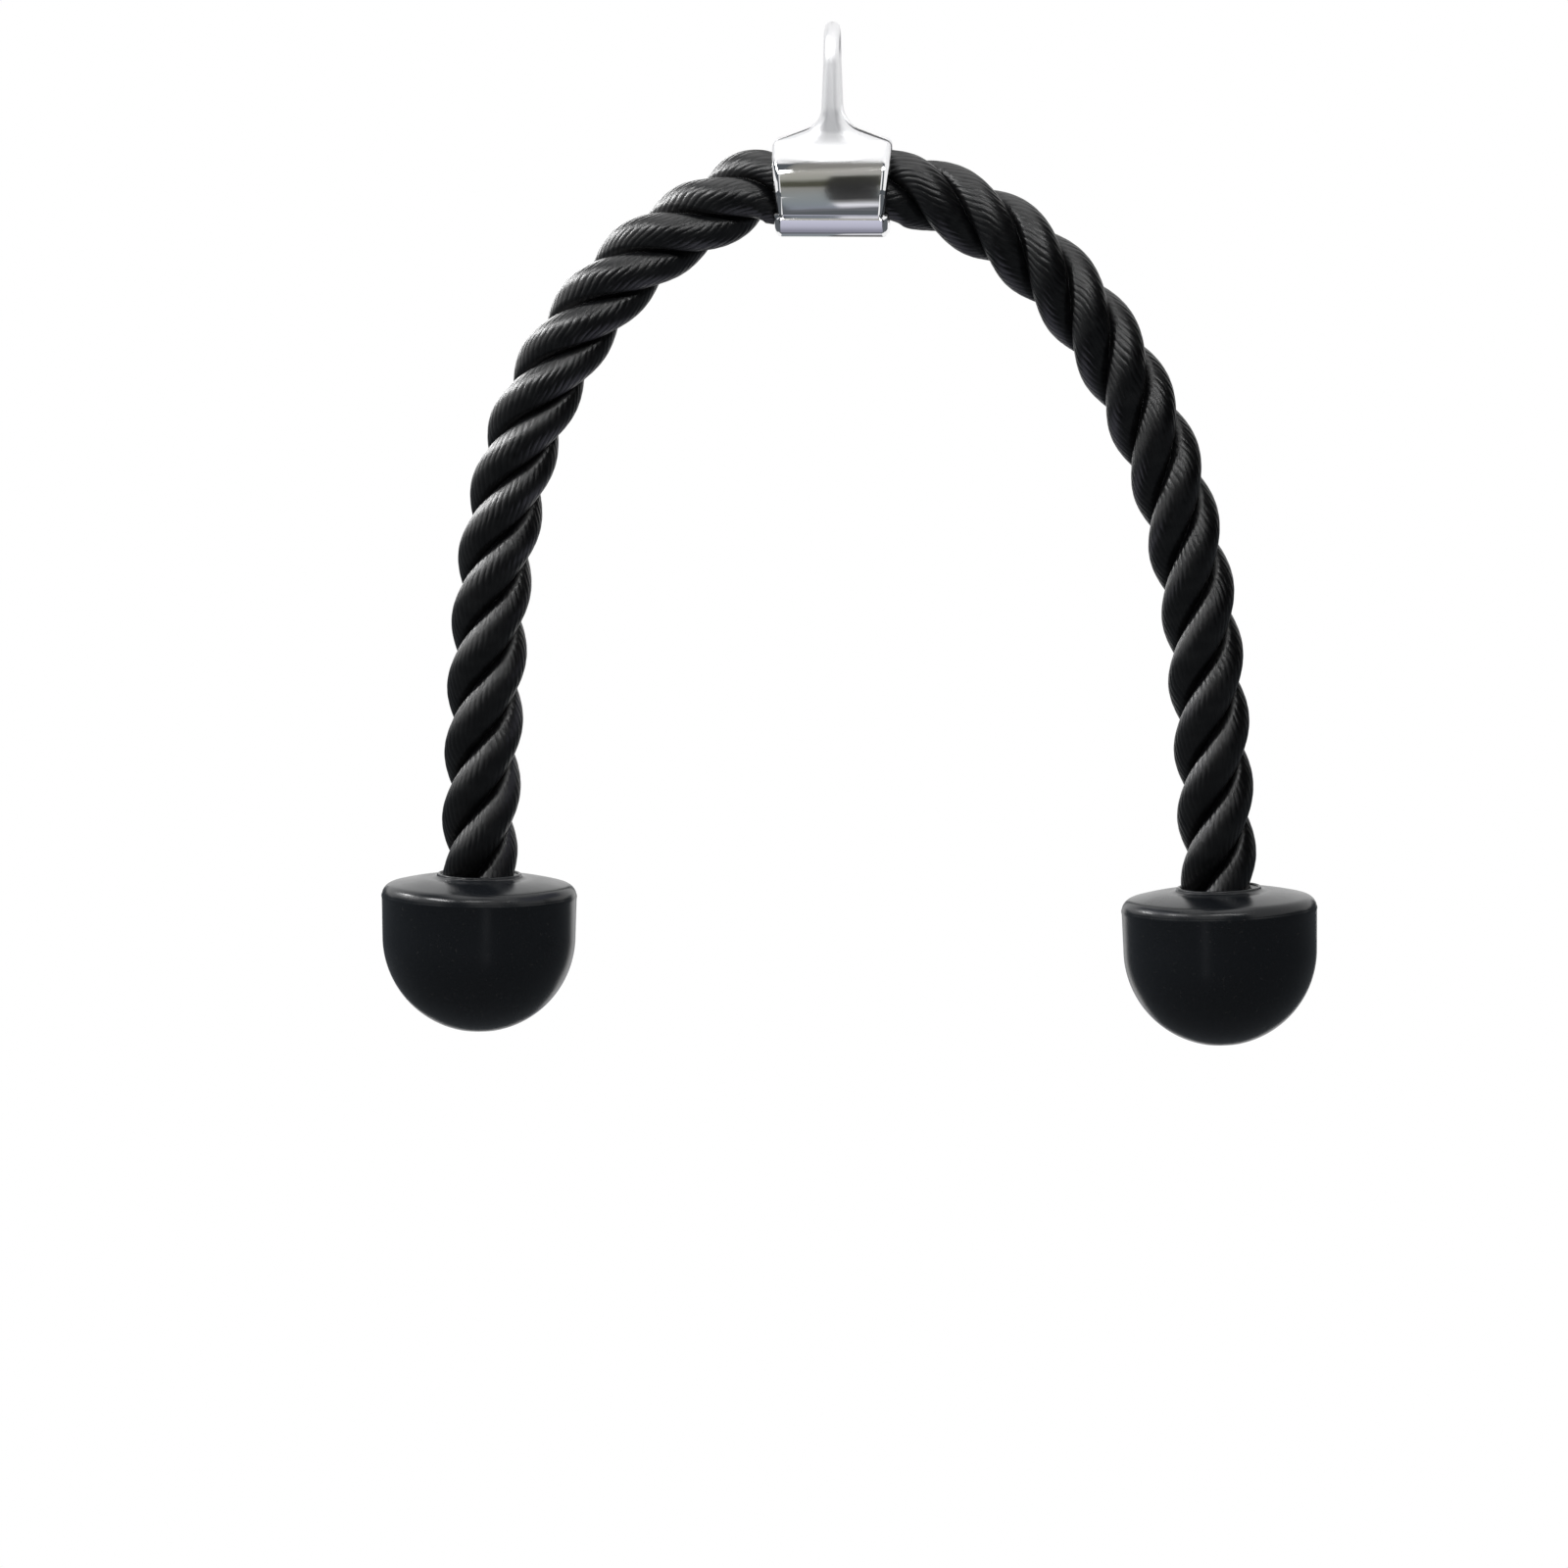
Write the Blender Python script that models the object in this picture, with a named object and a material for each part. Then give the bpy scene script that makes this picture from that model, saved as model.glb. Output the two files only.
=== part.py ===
# Triceps rope attachment: a chrome hanger strap grips the middle of a thick laid rope,
# and each rope end is crimped and held inside a moulded rubber end ball.
# Metres. X runs along the sleeve, Z is up, and the origin is the top seat of the hanger's eye.

import math

import bmesh
import bpy
import numpy as np
from mathutils import Vector

# Gap between pieces that touch
touch_gap = 0.0003

# Rope
rope_diameter = 0.0254
rope_point_spacing = 0.0508
rope_end_run = 0.0050
curve_sample_spacing = 0.0010
mouth_run = 0.0025
upper_hinge_run = 0.0165
lower_hinge_run = 0.1600
rope_bevel_resolution = 4

# Rope route of each leg from the sleeve's edge to the ball's lip, as (outwards, downwards)
left_route = [
    (0.0187, 0.0072), (0.0358, 0.0175), (0.0509, 0.0305), (0.0692, 0.0542), (0.0822, 0.0812),
    (0.0902, 0.1101), (0.0953, 0.1497), (0.0973, 0.1897), (0.0986, 0.2295),
]
right_route = [
    (0.0193, 0.0052), (0.0369, 0.0147), (0.0521, 0.0275), (0.0707, 0.0509), (0.0849, 0.0773),
    (0.0949, 0.1055), (0.1032, 0.1448), (0.1074, 0.1886), (0.1097, 0.2327),
]
left_end_lean = math.radians(0.5)
right_end_lean = math.radians(1.5)

# Hanger strap
eye_inner_radius = 0.0080
eye_seat_to_rope = 0.0500
bail_width = 0.0052
bail_thickness = 0.0050
neck_width = 0.0064
neck_bend_radius = 0.0200
flare_radius = 0.0090
shoulder_width = 0.0394
shoulder_above_rope = 0.0150
shoulder_slope = math.radians(20.5)
shoulder_corner_radius = 0.0020
shoulder_inner_radius = 0.0048
shoulder_bend_radius = 0.0090
tongue_share = 0.25
front_end_width = 0.0362
rear_end_width = 0.0378
sleeve_wall = 0.0036
outer_edge_round = 0.0024
inner_edge_round = 0.0006
seam_below_front = math.radians(34.0)
seam_groove_width = 0.0011
seam_groove_depth = 0.0013

# End ball
ball_diameter = 0.0654
ball_height = 0.0500
ball_side_draft = 0.0003
ball_rim_round = 0.0037
pole_flat_diameter = 0.0140
parting_line_below_crest = 0.0050
parting_line_width = 0.0010
parting_line_stand = 0.00015
lip_height = 0.0040
lip_wall = 0.0018
trumpet_foot_radius = 0.0220
face_rise = 0.0006

# Rope end hardware inside the ball
washer_below_crest = 0.0120
washer_radius = 0.0185
washer_thickness = 0.0020
ferrule_wall = 0.0025
ferrule_length = 0.0190
ferrule_edge_bevel = 0.0005
crimp_depth = 0.0008
crimp_width = 0.0040
crimp_place_shares = (1 / 3, 2 / 3)
rope_end_stand_out = 0.0015

# Facet counts
eye_steps = 14
flare_steps = 6
corner_steps = 3
neck_steps = 6
wrap_step_angle = math.radians(10.0)
edge_round_steps = 3
face_steps = 12
slope_steps = 5
lip_steps = 6
trumpet_steps = 4
rim_steps = 5
dome_steps = 9
ball_turn_steps = 40
hardware_turn_steps = 28

# Derived sizes
rope_radius = rope_diameter / 2
bore_radius = rope_radius + touch_gap
half_gap = touch_gap / 2
ball_radius = ball_diameter / 2
ferrule_radius = bore_radius + ferrule_wall
washer_top = -(lip_height + washer_below_crest + touch_gap)
ferrule_top = washer_top - washer_thickness - touch_gap
ferrule_bottom = ferrule_top - ferrule_length
rope_end = ferrule_bottom - rope_end_stand_out


def clear_scene():
    for item in list(bpy.data.objects):
        bpy.data.objects.remove(item, do_unlink=True)


def make_material(name, colour, roughness, metallic=0.0):
    material = bpy.data.materials.new(name)
    material.use_nodes = True
    shader = material.node_tree.nodes["Principled BSDF"]
    shader.inputs["Base Color"].default_value = (*colour, 1.0)
    shader.inputs["Roughness"].default_value = roughness
    shader.inputs["Metallic"].default_value = metallic
    return material


def chrome():
    return make_material("chrome", (0.80, 0.80, 0.82), 0.08, 1.0)


def black_nylon():
    return make_material("black_nylon", (0.018, 0.018, 0.020), 0.62)


def black_rubber(name):
    return make_material(name, (0.012, 0.013, 0.016), 0.22)


def zinc_steel(name):
    return make_material(name, (0.62, 0.63, 0.62), 0.35, 1.0)


def add_mesh_object(name, shape, material, parent=None):
    mesh = bpy.data.meshes.new(name)
    bmesh.ops.recalc_face_normals(shape, faces=shape.faces)
    shape.to_mesh(mesh)
    shape.free()
    mesh.shade_smooth()
    mesh.set_sharp_from_angle(angle=math.radians(35))
    mesh.materials.append(material)
    piece = bpy.data.objects.new(name, mesh)
    bpy.context.scene.collection.objects.link(piece)
    piece.parent = parent
    return piece


def add_empty(name, location, parent=None):
    empty = bpy.data.objects.new(name, None)
    bpy.context.scene.collection.objects.link(empty)
    empty.parent = parent
    empty.location = location
    return empty


# Points of an elliptic arc in a plane of (across, up), both ends included
def arc_points(centre, across, up, start, end, steps):
    turns = [start + (end - start) * step / steps for step in range(steps + 1)]
    return [(centre[0] + across * math.cos(t), centre[1] + up * math.sin(t)) for t in turns]


# Hanger strap. Seen from the side, its inner face follows the bore of the sleeve, bends back
# outwards at the neck and closes over the eye. A station of the loft is
# (frame, width, thickness, roundness), and its frame gives the inner point and the outward
# direction, in a plane of (forwards, up), at a place along X.

# Angle above the front's horizontal at which the strap leaves the rope for a bend
def bend_start_angle(inner_radius, bend_radius):
    return math.acos((inner_radius + bend_radius) / (bore_radius + bend_radius))


tongue_start_angle = bend_start_angle(eye_inner_radius, neck_bend_radius)


# Inner point and outward direction of the front leg at a height above the rope's axis
def leg_point(height, inner_radius, bend_radius):
    start_angle = bend_start_angle(inner_radius, bend_radius)
    neck_height = (bore_radius + bend_radius) * math.sin(start_angle)
    if height >= neck_height:
        return (inner_radius, height - eye_seat_to_rope), (1.0, 0.0)
    if height <= bore_radius * math.sin(start_angle):
        outward = (math.sqrt(1 - (height / bore_radius) ** 2), height / bore_radius)
        return (bore_radius * outward[0], height - eye_seat_to_rope), outward
    turn = math.asin((neck_height - height) / bend_radius)
    forwards = inner_radius + bend_radius * (1 - math.cos(turn))
    return (forwards, height - eye_seat_to_rope), (math.cos(turn), math.sin(turn))


# Share between 0 and 1 that starts and ends gently
def eased(share):
    share = min(1.0, max(0.0, share))
    return share * share * (3 - 2 * share)


# The tongue in the middle rises into the bail, and the shoulders beside it lean back over the rope
def leg_frame(height, half, flare_top):
    rise_share = (flare_top - height) / (flare_top - shoulder_above_rope)

    def frame(along):
        side_share = (abs(along) / half - tongue_share) / (1 - tongue_share)
        lean = eased(rise_share) * eased(side_share)
        inner_radius = eye_inner_radius + (shoulder_inner_radius - eye_inner_radius) * lean
        bend_radius = neck_bend_radius + (shoulder_bend_radius - neck_bend_radius) * lean
        return leg_point(height, inner_radius, bend_radius)

    return frame


def same_all_along(point, outward):
    return lambda along: (point, outward)


def facing_back(frame):
    def rear_frame(along):
        point, outward = frame(along)
        return (-point[0], point[1]), (-outward[0], outward[1])

    return rear_frame


# The blank spreads from the neck in a concave curve, then slopes gently down to the shoulder
def flare_outline():
    slope_turn = math.radians(90) - shoulder_slope
    centre_half = neck_width / 2 + flare_radius
    centre_height = (
        shoulder_above_rope
        + (shoulder_width / 2 - centre_half) * math.tan(shoulder_slope)
        + flare_radius / math.cos(shoulder_slope)
    )
    half_turn = math.radians(180)
    outline = arc_points(
        (centre_half, centre_height), flare_radius, flare_radius,
        half_turn, half_turn + slope_turn, flare_steps,
    )
    corner = (
        shoulder_width / 2 - shoulder_corner_radius,
        shoulder_above_rope
        + shoulder_corner_radius * (math.tan(shoulder_slope) - 1 / math.cos(shoulder_slope)),
    )
    rounded = arc_points(
        corner, shoulder_corner_radius, shoulder_corner_radius, slope_turn, 0.0, corner_steps
    )
    (half, height), (last_half, last_height) = outline[-1], rounded[0]
    shares = [step / slope_steps for step in range(1, slope_steps)]
    slope = [(half + (last_half - half) * s, height + (last_height - height) * s) for s in shares]
    return outline + slope + rounded


def front_leg_stations():
    outline = flare_outline()
    bar_height, flat_height = outline[0][1], outline[flare_steps][1]
    stations = []
    for half, height in outline:
        roundness = max(0.0, (height - flat_height) / (bar_height - flat_height))
        thickness = sleeve_wall + (bail_thickness - sleeve_wall) * roundness
        stations.append((leg_frame(height, half, bar_height), 2 * half, thickness, roundness))
    last_height = outline[-1][1]
    wrap_height = bore_radius * math.sin(tongue_start_angle)
    for step in range(1, neck_steps + 1):
        height = last_height + (wrap_height - last_height) * step / neck_steps
        frame = leg_frame(height, shoulder_width / 2, bar_height)
        stations.append((frame, shoulder_width, sleeve_wall, 0.0))
    return stations


# Wrap round the rope between two angles measured downwards from the front's horizontal
def wrap_stations(start, end, start_width, end_width, wall):
    steps = max(1, round(abs(end - start) / wrap_step_angle))
    stations = []
    for step in range(steps + 1):
        share = step / steps
        angle = -(start + (end - start) * share)
        outward = (math.cos(angle), math.sin(angle))
        point = (bore_radius * outward[0], bore_radius * outward[1] - eye_seat_to_rope)
        width = start_width + (end_width - start_width) * share
        stations.append((same_all_along(point, outward), width, wall, 0.0))
    return stations


def eye_stations():
    centre = (0.0, -eye_inner_radius)
    half_turn = math.radians(180)
    points = arc_points(centre, eye_inner_radius, eye_inner_radius, half_turn, 0.0, eye_steps)
    stations = []
    for point in points:
        outward = (point[0] / eye_inner_radius, (point[1] - centre[1]) / eye_inner_radius)
        stations.append((same_all_along(point, outward), bail_width, bail_thickness, 1.0))
    return stations


def mirrored(stations):
    return [(facing_back(frame), *sizes) for frame, *sizes in reversed(stations)]


# The blank's two ends meet in a welded seam below the front, left as a shallow groove
def strap_stations():
    leg = front_leg_stations()
    groove = seam_groove_width / (bore_radius + sleeve_wall)
    upper_edge = seam_below_front - groove
    lower_edge = seam_below_front + groove
    rear_angle = math.radians(180) + tongue_start_angle
    seam = wrap_stations(
        seam_below_front - groove / 4, seam_below_front + groove / 4,
        front_end_width - 2 * seam_groove_depth, front_end_width - 2 * seam_groove_depth,
        sleeve_wall - seam_groove_depth,
    )
    front = wrap_stations(
        -tongue_start_angle, upper_edge, shoulder_width, front_end_width, sleeve_wall
    )
    rear = wrap_stations(lower_edge, rear_angle, rear_end_width, shoulder_width, sleeve_wall)
    return rear[:-1] + mirrored(leg) + eye_stations() + leg + front[1:] + seam


# Outline of the strap's section as (along X, outwards): a flat bar that turns into a round one
def section_outline(width, thickness, roundness):
    bar_round = min(width, thickness) / 2 - inner_edge_round / 2
    outer = outer_edge_round + (bar_round - outer_edge_round) * roundness
    outer = min(outer, thickness - 2 * inner_edge_round)
    inner = inner_edge_round + (bar_round - inner_edge_round) * roundness
    half = width / 2
    quarter = math.radians(90)
    corners = [
        (half - outer, thickness - outer, outer), (outer - half, thickness - outer, outer),
        (inner - half, inner, inner), (half - inner, inner, inner),
    ]
    outline = []
    for turn, (along, out, radius) in enumerate(corners):
        start = quarter * turn
        outline += arc_points((along, out), radius, radius, start, start + quarter, edge_round_steps)
        if turn in (0, 2):
            face_start, face_end = outline[-1], -corners[turn + 1][0]
            run = -face_end - face_start[0]
            steps = range(1, face_steps)
            outline += [(face_start[0] + run * step / face_steps, face_start[1]) for step in steps]
    return outline


# The front of the part faces -Y, so what lies forwards in a station lies at negative Y
def hanger_strap():
    shape = bmesh.new()
    rings = []
    for frame, width, thickness, roundness in strap_stations():
        ring = []
        for along, out in section_outline(width, thickness, roundness):
            point, outward = frame(along)
            forwards, height = point[0] + out * outward[0], point[1] + out * outward[1]
            ring.append(shape.verts.new((along, -forwards, height)))
        rings.append(ring)
    for ring, following in zip(rings, rings[1:] + rings[:1]):
        for index in range(len(ring)):
            after = (index + 1) % len(ring)
            shape.faces.new((ring[index], ring[after], following[after], following[index]))
    return add_mesh_object("hanger_strap", shape, chrome())


# Curve with continuous bend through the route's own points, with a given direction at both ends
def smooth_curve(points, start_direction, end_direction):
    knots = np.array(points, float)
    steps = np.diff(knots, axis=0)
    spans = np.linalg.norm(steps, axis=1)
    slopes = steps / spans[:, None]
    count = len(knots)
    system = np.eye(count)
    target = np.zeros((count, 3))
    target[0], target[-1] = start_direction, end_direction
    for i in range(1, count - 1):
        before, after = spans[i - 1], spans[i]
        system[i, i - 1 : i + 2] = after, 2 * (before + after), before
        target[i] = 3 * (after * slopes[i - 1] + before * slopes[i])
    tangents = np.linalg.solve(system, target)
    samples = []
    for i in range(count - 1):
        divisions = max(2, round(spans[i] / curve_sample_spacing))
        for share in np.arange(divisions) / divisions:
            samples.append(
                (1 + 2 * share) * (1 - share) ** 2 * knots[i]
                + share * (1 - share) ** 2 * spans[i] * tangents[i]
                + share**2 * (3 - 2 * share) * knots[i + 1]
                + share**2 * (share - 1) * spans[i] * tangents[i + 1]
            )
    samples.append(knots[-1])
    return np.array(samples)


# Centreline of one leg, from the sleeve's edge through the ball's lip to the rope's end
class Leg:
    def __init__(self, side, route, lean):
        edge = np.array((side * shoulder_width / 2, 0.0, -eye_seat_to_rope))
        outward = np.array((side, 0.0, 0.0))
        self.hang = np.array((side * math.sin(lean), 0.0, -math.cos(lean)))
        points = [edge + outward * mouth_run]
        points += [edge + np.array((side * out, 0.0, -down)) for out, down in route]
        curve = smooth_curve(points, outward, self.hang)
        self.lip = curve[-1]
        self.end = self.lip - self.hang * rope_end
        self.samples = np.vstack([edge, curve, self.end])
        spans = np.linalg.norm(np.diff(self.samples, axis=0), axis=1)
        self.runs = np.concatenate([[0.0], np.cumsum(spans)])
        self.upper_hinge = self.at(upper_hinge_run)
        self.lower_hinge = self.at(lower_hinge_run)

    def at(self, run):
        return np.array([np.interp(run, self.runs, self.samples[:, axis]) for axis in range(3)])

    def direction(self, run):
        step = self.at(run + curve_sample_spacing) - self.at(run - curve_sample_spacing)
        return step / np.linalg.norm(step)

    # Points of the stretch between the two hinges. Both end faces are square to the curve.
    def upper_points(self):
        leaving = self.direction(upper_hinge_run)
        arriving = self.direction(lower_hinge_run)
        start = self.upper_hinge + leaving * half_gap
        end = self.lower_hinge - arriving * half_gap
        middle = self.between(upper_hinge_run + rope_end_run, lower_hinge_run - rope_end_run)
        return [start, start + leaving * rope_end_run, *middle, end - arriving * rope_end_run, end]

    # Points of the stretch that enters the ball. It runs straight through the lip to the rope's end.
    def lower_points(self):
        leaving = self.direction(lower_hinge_run)
        start = self.lower_hinge + leaving * half_gap
        lip_run = self.runs[-2]
        middle = self.between(lower_hinge_run + rope_end_run, lip_run - rope_end_run)
        above_lip = self.lip - self.hang * rope_end_run
        return [start, start + leaving * rope_end_run, *middle, above_lip, self.end]

    # Points of the stub between the sleeve and the upper hinge
    def stub_points(self):
        arriving = self.direction(upper_hinge_run)
        end = self.upper_hinge - arriving * half_gap
        return [self.at(mouth_run), end - arriving * rope_end_run, end]

    def between(self, start, end):
        count = max(1, round((end - start) / rope_point_spacing))
        return [self.at(start + (end - start) * step / count) for step in range(1, count)]


def add_rope_stretch(name, points, material, parent=None, origin=(0, 0, 0)):
    curve = bpy.data.curves.new(name, "CURVE")
    curve.dimensions = "3D"
    curve.bevel_depth = rope_radius
    curve.bevel_resolution = rope_bevel_resolution
    curve.use_fill_caps = True
    spline = curve.splines.new("POLY")
    spline.points.add(len(points) - 1)
    for spot, point in zip(spline.points, points):
        spot.co = (*(Vector(point) - Vector(origin)), 1.0)
    curve.materials.append(material)
    piece = bpy.data.objects.new(name, curve)
    bpy.context.scene.collection.objects.link(piece)
    piece.parent = parent
    return piece


# Solid turned about Z. A profile that starts and ends on the axis is closed by it.
def turned(name, profile, steps, material, parent):
    shape = bmesh.new()
    spots = [shape.verts.new((radius, 0.0, height)) for radius, height in profile]
    edges = [shape.edges.new(pair) for pair in zip(spots, spots[1:])]
    if profile[0][0] > 0:
        edges.append(shape.edges.new((spots[-1], spots[0])))
    bmesh.ops.spin(
        shape, geom=spots + edges, cent=(0, 0, 0), axis=(0, 0, 1),
        angle=math.radians(360), steps=steps, use_merge=True,
    )
    bmesh.ops.remove_doubles(shape, verts=shape.verts, dist=touch_gap / 30)
    return add_mesh_object(name, shape, material, parent)


# Inside of the ball as (radius, height), with the lip's top at height zero:
# moulded round the rope's end, the ferrule and the washer
def ball_inside():
    floor = rope_end - touch_gap
    washer_pocket = washer_radius + touch_gap
    ferrule_pocket = ferrule_radius + touch_gap
    shelf = washer_top + touch_gap
    return [
        (0.0, floor), (ferrule_pocket, floor), (ferrule_pocket, ferrule_top),
        (washer_pocket, ferrule_top), (washer_pocket, shelf), (bore_radius, shelf),
    ]


# Lip round the rope, concave foot and gently coned top face, out to the rim
def ball_top():
    lip_round = lip_wall / 2
    quarter = math.radians(90)
    crest = -lip_height
    foot_height = crest + face_rise
    foot_run = trumpet_foot_radius - bore_radius - lip_wall
    top = arc_points((bore_radius + lip_round, -lip_round), lip_round, lip_round, 2 * quarter, 0.0, lip_steps)
    top += arc_points(
        (trumpet_foot_radius, -lip_round), foot_run, -lip_round - foot_height,
        2 * quarter, 3 * quarter, trumpet_steps,
    )[1:]
    rim_centre = (ball_radius - ball_rim_round, crest - ball_rim_round)
    top += arc_points(rim_centre, ball_rim_round, ball_rim_round, quarter, 0.0, rim_steps)
    return top


# Raised parting line, drafted side, dome and the small flat at the pole
def ball_outside():
    crest = -lip_height
    line = crest - parting_line_below_crest
    edge = parting_line_width / 2
    dome_radius = ball_radius - ball_side_draft
    flat_radius = pole_flat_diameter / 2
    dome_height = math.sqrt(dome_radius**2 - flat_radius**2)
    dome_centre = crest - ball_height + dome_height
    pole_turn = math.atan2(dome_height, flat_radius)
    outside = [
        (ball_radius, line + edge), (ball_radius + parting_line_stand, line), (ball_radius, line - edge),
    ]
    outside += arc_points((0.0, dome_centre), dome_radius, dome_radius, 0.0, -pole_turn, dome_steps)
    outside.append((0.0, crest - ball_height))
    return outside


def end_ball(name, parent):
    profile = ball_inside() + ball_top() + ball_outside()
    return turned(name, profile, ball_turn_steps, black_rubber(name + "_rubber"), parent)


def washer(name, parent):
    bottom = washer_top - washer_thickness
    profile = [
        (bore_radius, bottom), (washer_radius, bottom),
        (washer_radius, washer_top), (bore_radius, washer_top),
    ]
    return turned(name, profile, hardware_turn_steps, zinc_steel(name + "_steel"), parent)


# Steel sleeve on the rope's end, bevelled at both ends, with two rolled crimps round it
def ferrule(name, parent):
    profile = [
        (bore_radius, ferrule_bottom), (ferrule_radius - ferrule_edge_bevel, ferrule_bottom),
        (ferrule_radius, ferrule_bottom + ferrule_edge_bevel),
    ]
    for share in crimp_place_shares:
        middle = ferrule_bottom + ferrule_length * share
        profile += [
            (ferrule_radius, middle - crimp_width / 2),
            (ferrule_radius - crimp_depth, middle - crimp_width / 4),
            (ferrule_radius - crimp_depth, middle + crimp_width / 4),
            (ferrule_radius, middle + crimp_width / 2),
        ]
    profile += [
        (ferrule_radius, ferrule_top - ferrule_edge_bevel),
        (ferrule_radius - ferrule_edge_bevel, ferrule_top), (bore_radius, ferrule_top),
    ]
    return turned(name, profile, hardware_turn_steps, zinc_steel(name + "_steel"), parent)


# One leg with its two bending points, its rope and everything that the ball holds
def build_leg(side_name, leg, rope_material):
    upper = add_empty(side_name + "_upper_hinge", leg.upper_hinge)
    lower = add_empty(side_name + "_lower_hinge", leg.lower_hinge - leg.upper_hinge, upper)
    add_rope_stretch(
        "rope_" + side_name + "_upper", leg.upper_points(), rope_material, upper, leg.upper_hinge
    )
    add_rope_stretch(
        "rope_" + side_name + "_lower", leg.lower_points(), rope_material, lower, leg.lower_hinge
    )
    held = [
        end_ball(side_name + "_end_ball", lower),
        washer(side_name + "_washer", lower),
        ferrule(side_name + "_ferrule", lower),
    ]
    for piece in held:
        piece.location = leg.lip - leg.lower_hinge
        piece.rotation_euler = Vector(-leg.hang).to_track_quat("Z", "Y").to_euler()


def main():
    clear_scene()
    rope_material = black_nylon()
    left = Leg(-1.0, left_route, left_end_lean)
    right = Leg(1.0, right_route, right_end_lean)
    hanger_strap()
    add_rope_stretch("rope_center", left.stub_points()[::-1] + right.stub_points(), rope_material)
    build_leg("left", left, rope_material)
    build_leg("right", right, rope_material)
    for name, leg in (("left", left), ("right", right)):
        print(name, "leg run", round(leg.runs[-1], 4), "lip run", round(leg.runs[-2], 4))
        print(name, "hinges", leg.upper_hinge.round(5), leg.lower_hinge.round(5), "lip", leg.lip.round(5))


main()
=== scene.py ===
import math

import bpy
import numpy as np
from mathutils import Matrix, Vector


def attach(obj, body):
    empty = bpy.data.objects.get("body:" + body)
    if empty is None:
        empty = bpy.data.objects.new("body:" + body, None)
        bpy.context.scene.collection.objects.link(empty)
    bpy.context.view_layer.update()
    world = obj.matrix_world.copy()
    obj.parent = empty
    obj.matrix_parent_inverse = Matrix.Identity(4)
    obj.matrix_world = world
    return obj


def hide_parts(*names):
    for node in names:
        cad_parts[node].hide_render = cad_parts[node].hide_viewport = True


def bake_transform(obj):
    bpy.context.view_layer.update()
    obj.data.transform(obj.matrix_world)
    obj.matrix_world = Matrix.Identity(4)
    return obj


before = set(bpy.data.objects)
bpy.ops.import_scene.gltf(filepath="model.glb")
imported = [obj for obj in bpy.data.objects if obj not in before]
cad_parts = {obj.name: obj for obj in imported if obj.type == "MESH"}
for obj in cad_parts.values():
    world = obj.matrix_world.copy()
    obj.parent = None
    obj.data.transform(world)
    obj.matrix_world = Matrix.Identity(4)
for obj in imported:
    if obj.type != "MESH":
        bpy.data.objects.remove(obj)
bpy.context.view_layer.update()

# Values that several pieces use
fullTurn = 2 * math.pi
upright = math.radians(90)
weldDistance = 0.00001


# Small helpers for selecting, for meshes and for nodes

def deselectAll():
    if bpy.context.object and bpy.context.object.mode != "OBJECT":
        bpy.ops.object.mode_set(mode="OBJECT")
    bpy.ops.object.select_all(action="DESELECT")


def activate(piece):
    deselectAll()
    piece.select_set(True)
    bpy.context.view_layer.objects.active = piece


def arcPoints(centre, across, up, start, end, steps):
    turns = [start + (end - start) * step / steps for step in range(steps + 1)]
    return [(centre[0] + across * math.cos(t), centre[1] + up * math.sin(t)) for t in turns]


def newMaterial(name):
    material = bpy.data.materials.new(name)
    material.use_nodes = True
    return material, material.node_tree.nodes, material.node_tree.links


def addNode(nodes, kind, settings=None, values=None):
    node = nodes.new(kind)
    for key, value in (settings or {}).items():
        setattr(node, key, value)
    for key, value in (values or {}).items():
        node.inputs[key].default_value = value
    return node


def addRamp(nodes, stops):
    ramp = nodes.new("ShaderNodeValToRGB")
    band = ramp.color_ramp
    while len(band.elements) < len(stops):
        band.elements.new(0.5)
    for element, (place, colour) in zip(band.elements, stops):
        element.position = place
        element.color = (*colour, 1.0)
    return ramp


def blackToWhite(nodes, edges):
    return addRamp(nodes, list(zip(edges, ((0, 0, 0), (1, 1, 1)))))


# Sockets 1 to 4 of a Map Range are the range that it takes and the one that it gives
def mapRange(nodes, source, target=(0.0, 1.0), kind="LINEAR"):
    limits = dict(zip((1, 2, 3, 4), (*source, *target)))
    return addNode(nodes, "ShaderNodeMapRange", {"interpolation_type": kind}, limits)


# Sockets 6 and 7 of a Mix are its two colours, and output 2 is the mixed one
def mixColours(nodes, links, mask, first, second):
    mix = addNode(nodes, "ShaderNodeMix", {"data_type": "RGBA"})
    links.new(mask, mix.inputs[0])
    for place, colour in ((6, first), (7, second)):
        if isinstance(colour, tuple):
            mix.inputs[place].default_value = (*colour, 1)
        else:
            links.new(colour, mix.inputs[place])
    return mix.outputs[2]


# Camera at the photograph's angle: a long lens a little above and to the right of the front
cameraView = {
    "distance": 4.5,
    "azimuth": math.radians(2.5),
    "elevation": math.radians(6.8),
    "target": (-0.0161, 0.0, -0.2502),
    "frameWidth": 0.5246,       # what the frame takes in, side to side, at the target
    "sensor": 36.0,
    "farthest": 60.0,
}


def placeCamera(view):
    azimuth, elevation = view["azimuth"], view["elevation"]
    back = Vector((
        math.sin(azimuth) * math.cos(elevation),
        -math.cos(azimuth) * math.cos(elevation),
        math.sin(elevation),
    ))
    lens = bpy.data.cameras.new("photoCamera")
    lens.sensor_width = view["sensor"]
    lens.lens = view["distance"] * view["sensor"] / view["frameWidth"]
    lens.clip_end = view["farthest"]
    camera = bpy.data.objects.new("photoCamera", lens)
    bpy.context.scene.collection.objects.link(camera)
    camera.location = Vector(view["target"]) + back * view["distance"]
    camera.rotation_euler = (-back).to_track_quat("-Z", "Y").to_euler()
    bpy.context.scene.camera = camera


placeCamera(cameraView)
print("camera placed")


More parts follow.
